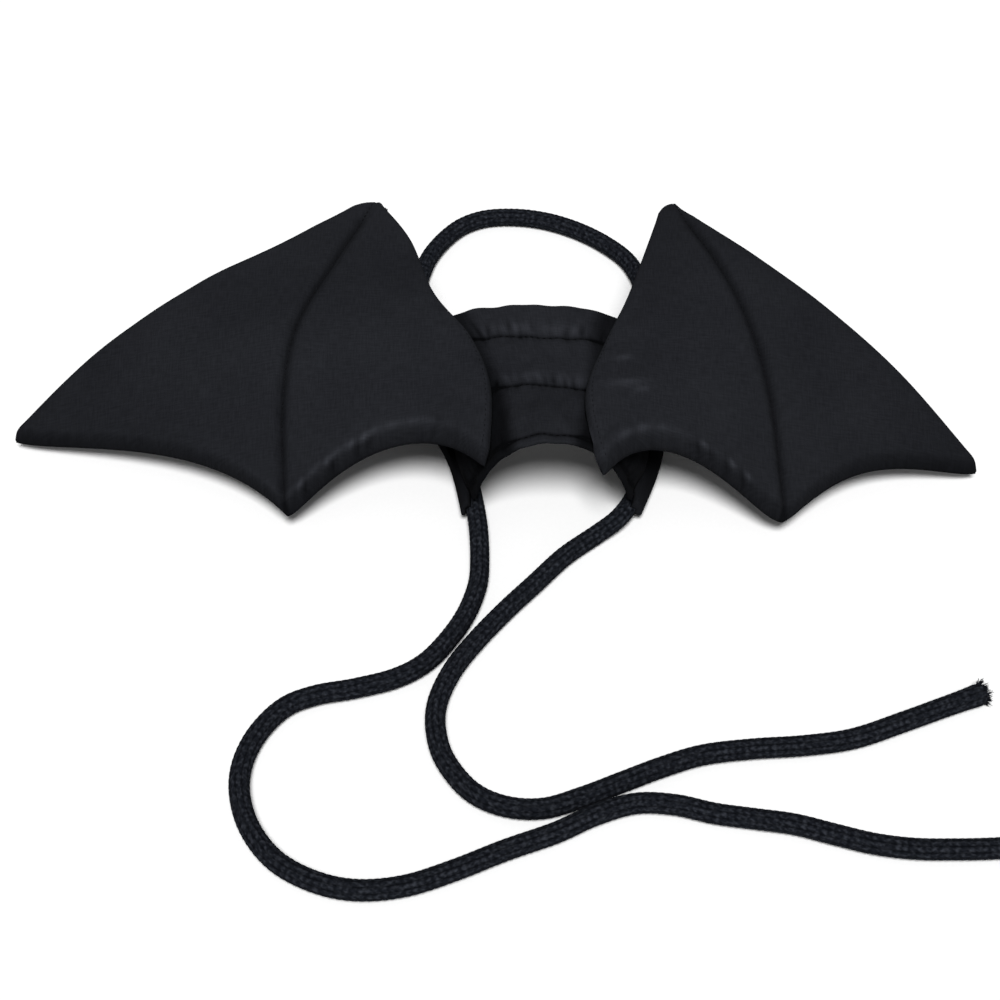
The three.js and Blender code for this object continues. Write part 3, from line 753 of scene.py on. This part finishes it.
# A padded wing: its middle surface moved up and down by half the padding, which is round at
# the outline, pressed in along the rib and creased across its seams. Two sheets share a rim.
def makeWing(wing):
    middle = wingMiddle(wing)
    normal = upNormals(middle)
    ribColumn = wingShape["columns"][0]
    outline = np.concatenate([middle[0], middle[:, -1], middle[-1, ::-1], middle[::-1, 0]])
    toEdge, _ = nearestOf(middle, outline)
    rim = np.zeros(toEdge.shape, bool)
    rim[[0, -1], :] = rim[:, [0, -1]] = True
    toEdge[rim] = 0
    toRib, _ = nearestOf(middle, middle[ribColumn])
    started = np.minimum(np.linalg.norm(middle - middle[ribColumn, 0], axis=-1) / wingShape["ribStart"], 1)
    hemRun = runningLength(middle[:, -1])[:, None] + 0 * toEdge
    toHem = np.linalg.norm(middle - middle[:, -1:], axis=-1)
    ribRun = runningLength(middle[ribColumn])[None, :] + 0 * toEdge
    innerRun = runningLength(middle[0])[None, :] + 0 * toEdge
    toInner = np.linalg.norm(middle - middle[:1], axis=-1)
    hemShare = np.minimum(toHem / wingShape["hem"][0], 1)
    crest = np.exp(-(((toHem / wingShape["hem"][0] - 1.1) / 0.35) ** 2))
    middle = middle - normal * (wingShape["hemDrop"] * (1 - hemShare) ** 2)[..., None]

    def rounded(distance, reach, power):
        return (1 - (1 - np.minimum(distance / reach, 1)) ** power) ** (1 / power)

    innerSpan = (0, runningLength(middle[: ribColumn + 1, -1])[-1])
    outerSpan = (innerSpan[1], hemRun.max())
    sheets, paintedShadings = [], []
    for face, up in enumerate((1, -1)):
        seed = wing["seed"] + 100 * face
        plump = rounded(toEdge, wingShape["edge"], wingShape["edgePower"])
        plump = np.minimum(plump, rounded(toHem, wingShape["hem"][face], wingShape["hemPower"][face]))
        press = 1 - wingShape["ribPress"] * started * np.exp(-((toRib / wingShape["ribWidth"]) ** 2))
        half = (wingShape["pad"] / 2 + wingShape["crest"] * crest) * plump * press
        half += 0.13 * mm * plump * press * softRipple(middle[..., 0], middle[..., 1], 22 * mm, seed)
        hemCreases = dict(seed=seed + 1, span=innerSpan, gap=6.0, width=(0.7, 1.5), depth=(0.03, 0.34),
                          reach=(1.2, 3.0), off=3.3, slant=0.35)
        outerCreases = dict(seed=seed + 2, span=outerSpan, gap=9.0, width=(0.7, 1.4), depth=(0.02, 0.16),
                            reach=(1.2, 2.6), off=3.2, slant=0.35)
        ribCreases = dict(seed=seed + 3, span=(9 * mm, ribRun.max()), gap=3.4, width=(0.5, 1.1),
                          depth=(0.02, 0.13), reach=(1.2, 2.4), off=1.1, slant=0.3)
        seatCreases = dict(seed=seed + 4, span=(innerRun.max() * 0.45, innerRun.max()), gap=5.5,
                           width=(0.8, 1.6), depth=(0.03, 0.26), reach=(3.0, 9.0), off=4.0, slant=0.3)
        fold = creaseDepth(hemRun, toHem, hemCreases) + creaseDepth(hemRun, toHem, outerCreases)
        fold += creaseDepth(ribRun, toRib, ribCreases) + creaseDepth(innerRun, toInner, seatCreases)
        valley, pale = puckerDepth(hemRun, toHem, innerSpan[1], wing["puckers"])
        ridge = foldHeight(middle, wing["folds"]) * (up > 0)
        half += (0.5 * mm * ridge - valley - fold) * plump
        half = np.maximum(half, 0.35 * mm * plump)
        # Painted light and shade: a painted highlight along the crest above the inner hem, on the puckers' swells
        # and on the folds; painted shade in creases, puckers and the rib's groove, in the band below the hem's
        # crest and growing towards the tip.
        paintedLight = np.exp(-(((hemRun / innerSpan[1] - wing["paintedShine"][0]) / wing["paintedShine"][1]) ** 2))
        paintedLight = paintedLight * crest**2 * (0.62 + 0.44 * softRipple(hemRun, toHem * 0, 6 * mm, seed + 7))
        ribGrooveShade = np.exp(-((toRib / wingShape["ribWidth"] / 0.6) ** 2)) * started
        paintedShading = paintedLight + pale + 0.8 * ridge - 0.55 * fold / mm - 0.5 * valley / mm - 0.5 * ribGrooveShade
        paintedShading += 0.16 - 0.36 * np.clip(np.abs(middle[..., 0]) / wing["reach"], 0, 1)
        paintedShadings.append(np.clip(paintedShading - 0.38 * (1 - hemShare**2), -0.7, 1.2))
        sheet = middle + normal * (up * half)[..., None]
        ground = archTop(sheet[..., 0], sheet[..., 1], 0) + 0.3 * mm + (1.2 * mm * plump if up > 0 else 0)
        sheet[..., 2] = np.maximum(sheet[..., 2], ground)
        sheets.append(sheet)
    upper = np.arange(rim.size).reshape(rim.shape)
    lower = upper.copy()
    lower[~rim] = rim.size + np.arange((~rim).sum())
    points = np.concatenate([sheets[0].reshape(-1, 3), sheets[1][~rim]])
    top, bottom = gridFaces(upper), gridFaces(lower)
    faces = np.concatenate([top[:, ::-1], bottom] if wing["side"] > 0 else [top, bottom[:, ::-1]])
    paintedShading = np.concatenate([paintedShadings[0].ravel(), paintedShadings[1][~rim]])
    piece = makePiece(wing["name"], points, faces.tolist(), points[:, :2], [wingCloth], paintedShading)
    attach(piece, "root")
    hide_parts(wing["node"])
    for name, look, column, rows in (
        ("RibStitches", ribStitch, ribColumn, slice(3, -6)),
        ("SeatStitches", seatStitch, seatStitch["column"], slice(seatStitch["start"], seatStitch["stop"])),
    ):
        line, above = sheets[0][column, rows], normal[column, rows]
        makeStitches(wing["name"] + name, line, above, look, ribThread)
    print(wing["name"], len(faces) * 2, "triangles")


for wing in (leftWing, rightWing):
    makeWing(wing)


# The saddle: its channels between sewn seams, front to back, each with its start, its end, where
# its swell would close and how full it is. A channel swells by full sin(pi f)^0.6.
quilting = dict(
    channels=[(0.000, 0.050, 0.050, 0.0), (0.050, 0.435, 0.435, 0.8), (0.435, 0.785, 0.785, 1.0),
              (0.785, 1.000, 1.110, 1.0)],
    columns=220,
    rows=190,
    edgeRows=10,
    wave=0.35,
)
seamStitch = dict(pitch=2.0, length=1.4, radius=0.18, lift=0.08, dip=0.22)


def channelPlump(along):
    plump = np.zeros_like(along)
    for start, end, close, full in quilting["channels"]:
        f = np.clip((along - start) / (close - start), 0, 1)
        plump = np.maximum(plump, full * np.sin(np.pi * f) ** 0.6)
    return plump


# The quilted arch. Its profile runs along the outside from the hem to the back edge, round
# that edge, back along the inside and round the hem. It is carried across the arch.
def makeSaddle():
    turn = np.linspace(0, np.pi, quilting["edgeRows"] + 2)[1:-1]
    backWall = saddle["hemWall"] + (saddle["wall"] - saddle["hemWall"]) * channelPlump(np.array([1.0]))[0]
    frontRound, backRound = saddle["hemWall"] / 2 / saddle["length"], backWall / 2 / saddle["length"]
    along = frontRound + edgewiseShares(quilting["rows"], 0.8) * (1 - frontRound - backRound)
    plump = channelPlump(along)
    outerInset = saddle["seamPress"] * (1 - plump)
    innerInset = outerInset + saddle["hemWall"] + (saddle["wall"] - saddle["hemWall"]) * plump
    halfBack, halfFront = (innerInset[-1] - outerInset[-1]) / 2, (innerInset[0] - outerInset[0]) / 2
    backEdge = (along[-1] + backRound * np.sin(turn), innerInset[-1] - (1 + np.cos(turn)) * halfBack)
    frontEdge = (along[0] - frontRound * np.sin(turn), innerInset[0] - (1 - np.cos(turn)) * halfFront)
    profileAlong = np.concatenate([along, backEdge[0], along[::-1], frontEdge[0]])
    profileInset = np.concatenate([outerInset, backEdge[1], innerInset[::-1], frontEdge[1]])
    across = np.linspace(-1, 1, quilting["columns"] + 1)
    a = across[:, None] + 0 * profileAlong[None]
    v = profileAlong[None] + 0 * a
    run = a * 52 * mm
    isOuter = np.concatenate([np.ones(len(along)), np.sin(turn[::-1] / 2), np.zeros(len(along)), np.sin(turn / 2)])
    sway = quilting["wave"] * mm * softRipple(run, v * 0, 14 * mm, 7) / saddle["length"]
    inset = profileInset[None] + 0 * a
    y = v * saddle["length"]
    # Painted light and shade: a little paler towards the back, and painted shade on the arch's sides beside the
    # wings, where they fall away.
    shade = np.clip((np.abs(run / mm + 3.2 * (1 - v)) - 8.2 - 9.3 * v) / 6.5, 0, 1)
    paintedShading = 0.15 * np.clip(v / 0.4 - 0.6, 0, 1) - 0.72 * shade * shade * (3 - 2 * shade)
    for k, (seam, gap) in enumerate(((0.05, 3.6), (0.435, 2.8), (0.785, 2.5))):
        d = y - seam * saddle["length"]
        behind = dict(seed=31 + k, span=(-52 * mm, 52 * mm), gap=gap, width=(0.45, 1.1), depth=(0.06, 0.44),
                      reach=(1.2, 4.2), off=1.6, slant=0.3)
        ahead = dict(seed=41 + k, span=(-52 * mm, 52 * mm), gap=gap * 1.4, width=(0.45, 0.9), depth=(0.03, 0.18),
                     reach=(0.8, 2.0), off=-1.0, slant=0.3)
        gather = (creaseDepth(run, d, behind) + creaseDepth(run, d, ahead)) * (0.25 if k == 0 else 1)
        inset = inset + isOuter * gather
        # A painted highlight on the swell behind each seam, and painted shade in the gathers and along the seam.
        swell = np.exp(-(((d / mm - 2.8) / 2.0) ** 2)) * np.clip(1 - (run / (22 * mm)) ** 2, 0, 1)
        swell = swell * (0.46 + 0.58 * softRipple(run, y * 0.2, 3.4 * mm, 61 + k)) * (k > 0)
        paintedShading = paintedShading + swell - 1.1 * gather / mm - 0.62 * np.exp(-((d / mm / 0.7) ** 2))
    inset = inset + isOuter * 0.40 * mm * softRipple(run, y, 11 * mm, 9)
    inset = np.maximum(inset, 0)
    middleOf = np.clip(np.minimum(v, 1 - v) / 0.1, 0, 1)
    points = archPoint(v + sway * middleOf, inset, a)
    index = np.arange(points[..., 0].size).reshape(points.shape[:2])
    closed = np.hstack([index, index[:, :1]])
    caps = [index[0, ::-1].tolist(), index[-1].tolist()]
    weave = np.stack([run, y], -1).reshape(-1, 2)
    flat = points.reshape(-1, 3)
    # Painted shade on the inside of the arch, darker towards the sides.
    paintedShading = np.clip(paintedShading * isOuter - (0.5 + 0.3 * shade) * (1 - isOuter), -0.85, 1.0)
    piece = makePiece("quiltedSaddle", flat, gridFaces(closed).tolist() + caps, weave, [saddleCloth], paintedShading)
    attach(piece, "root")
    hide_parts("saddle")
    outer = points[:, : len(along)]
    normal = unit(np.cross(np.gradient(outer, axis=1), np.gradient(outer, axis=0)))
    normal *= np.sign(normal[quilting["columns"] // 2, len(along) // 2, 2])
    for k, (seam, _, _, _) in enumerate(quilting["channels"][1:]):
        row = np.abs(along - seam).argmin()
        name = "saddleStitches" + str(k + 1)
        makeStitches(name, outer[:, row], normal[:, row], seamStitch, seamThread)
    print("saddle", closed.size * 2, "triangles")


makeSaddle()


# A casing: a folded tunnel, its top under the saddle's foot, round the cord below and flat
# where it rests. Section rings run along it, slanted back from the outer corner to the inner
# side, and its inside is a round bore round the cord.
casingLook = dict(ringsAlong=70, arc=44, top=12, shade=-0.40)


def makeCasing(name, node, side, cordLine):
    t = edgewiseShares(casingLook["ringsAlong"], 0.6)[:, None]
    slant = casing["slant"] / saddle["length"] * (1 - t) ** casing["slantFade"]
    angle = np.linspace(0.12 * np.pi, -1.12 * np.pi, casingLook["arc"])[None]
    arc = casingAxis(side, t + slant * (1 - np.cos(angle)) / 2)
    arc[..., 0] += side * casingRadius * np.cos(angle)
    arc[..., 2] = np.maximum(0, arc[..., 2] + casingRadius * np.sin(angle))
    share = np.linspace(0, 1, casingLook["top"] + 2)[None]
    place = t + slant / 2 * (1 - share)
    inset = (saddle["seamPress"] + saddle["hemWall"]) * (1 - share)
    topX = lineValue("lean", place) * mm + side * archReach(place, inset, casing["top"])
    top = np.stack([topX, (place - 0.5) * saddle["length"], 0 * place + casing["top"]], -1)
    outer = np.concatenate([arc, top], 1)
    x, y, z = outer[..., 0], outer[..., 1], outer[..., 2]
    count = outer.shape[1]
    order = np.argsort(cordLine[:, 1])
    boreX = np.interp(y, cordLine[order, 1], cordLine[order, 0])
    boreZ = np.interp(y, cordLine[order, 1], cordLine[order, 2])
    towards = np.arctan2(z - boreZ, x - boreX)
    inner = np.stack([boreX + casing["bore"] * np.cos(towards), y, boreZ + casing["bore"] * np.sin(towards)], -1)
    lipFront = (outer[:1] + inner[:1]) / 2 - (0, 0.3 * mm, 0)
    lipBack = (outer[-1:] + inner[-1:]) / 2 + (0, 0.3 * mm, 0)
    rings = np.concatenate([outer, lipBack, inner[::-1], lipFront])
    index = np.arange(rings[..., 0].size).reshape(rings.shape[:2])
    closed = np.vstack([index, index[:1]])
    closed = np.hstack([closed, closed[:, :1]])
    faces = gridFaces(closed)
    faces = faces if side > 0 else faces[:, ::-1]
    weave = np.stack([np.cumsum(np.ones(count))[None] * 0.5 * mm + 0 * rings[..., 1], rings[..., 1]], -1)
    # Painted shade: the casing darker all over, as in the wings' shadow, and darker still towards the back.
    shadeTowardsBack = np.clip((rings[..., 1] / saddle["length"] + 0.5) / 0.2, 0, 1)
    paintedShading = casingLook["shade"] - 0.35 * shadeTowardsBack
    piece = makePiece(name, rings.reshape(-1, 3), faces.tolist(), weave.reshape(-1, 2), [saddleCloth], paintedShading)
    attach(piece, "root")
    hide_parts(node)
    return piece


for side, name, node in ((-1, "leftCasing", "casing_left"), (1, "rightCasing", "casing_right")):
    makeCasing(name, node, side, cordLines[side])
print("casings: done")


# Floor and light: one large soft lamp high in front, a dim room, and a white band all round at
# the height of the floor's far edge, given as a share of the way up to the zenith.
studio = dict(
    floorSize=30.0,
    floorColour=(0.90, 0.90, 0.90),
    sky=0.20,
    band=(0.05, 0.16),
    lamp=dict(strength=3.5, angle=22.0, lean=27.0),  # degrees
)


def makeStudio(look):
    half = look["floorSize"] / 2
    mesh = bpy.data.meshes.new("floor")
    mesh.from_pydata([(-half, -half, 0), (half, -half, 0), (half, half, 0), (-half, half, 0)], [], [(0, 1, 2, 3)])
    floor = bpy.data.objects.new("floor", mesh)
    bpy.context.scene.collection.objects.link(floor)
    material, tree, shader = newMaterial("palePaper", {"Roughness": 0.9, "Specular IOR Level": 0.2})
    place = addNode(tree, "ShaderNodeTexCoord")
    grain = addNode(tree, "ShaderNodeTexNoise", {"Vector": place.outputs["Object"], "Scale": 900.0, "Detail": 2.0})
    pale = tuple(c * 0.985 for c in look["floorColour"])
    tone = addRamp(tree, grain.outputs["Fac"], [(0.3, pale), (0.7, look["floorColour"])])
    tree.links.new(tone, shader.inputs["Base Color"])
    mesh.materials.append(material)
    world = bpy.data.worlds.new("softRoom")
    bpy.context.scene.world = world
    world.use_nodes = True
    tree = world.node_tree
    towards = addNode(tree, "ShaderNodeTexCoord")
    height = addNode(tree, "ShaderNodeSeparateXYZ", {"Vector": towards.outputs["Generated"]})
    low, high = look["band"]
    glow = addRamp(tree, height.outputs["Z"], [(low, (1, 1, 1)), (high, (look["sky"],) * 3)])
    tree.links.new(glow, tree.nodes["Background"].inputs["Color"])
    light = bpy.data.lights.new("softLamp", "SUN")
    light.energy, light.angle = look["lamp"]["strength"], np.radians(look["lamp"]["angle"])
    lamp = bpy.data.objects.new("softLamp", light)
    lamp.rotation_euler = (np.radians(look["lamp"]["lean"]), 0, 0)
    bpy.context.scene.collection.objects.link(lamp)
    bpy.context.scene.view_settings.view_transform = "Standard"


makeStudio(studio)
print("studio: done")
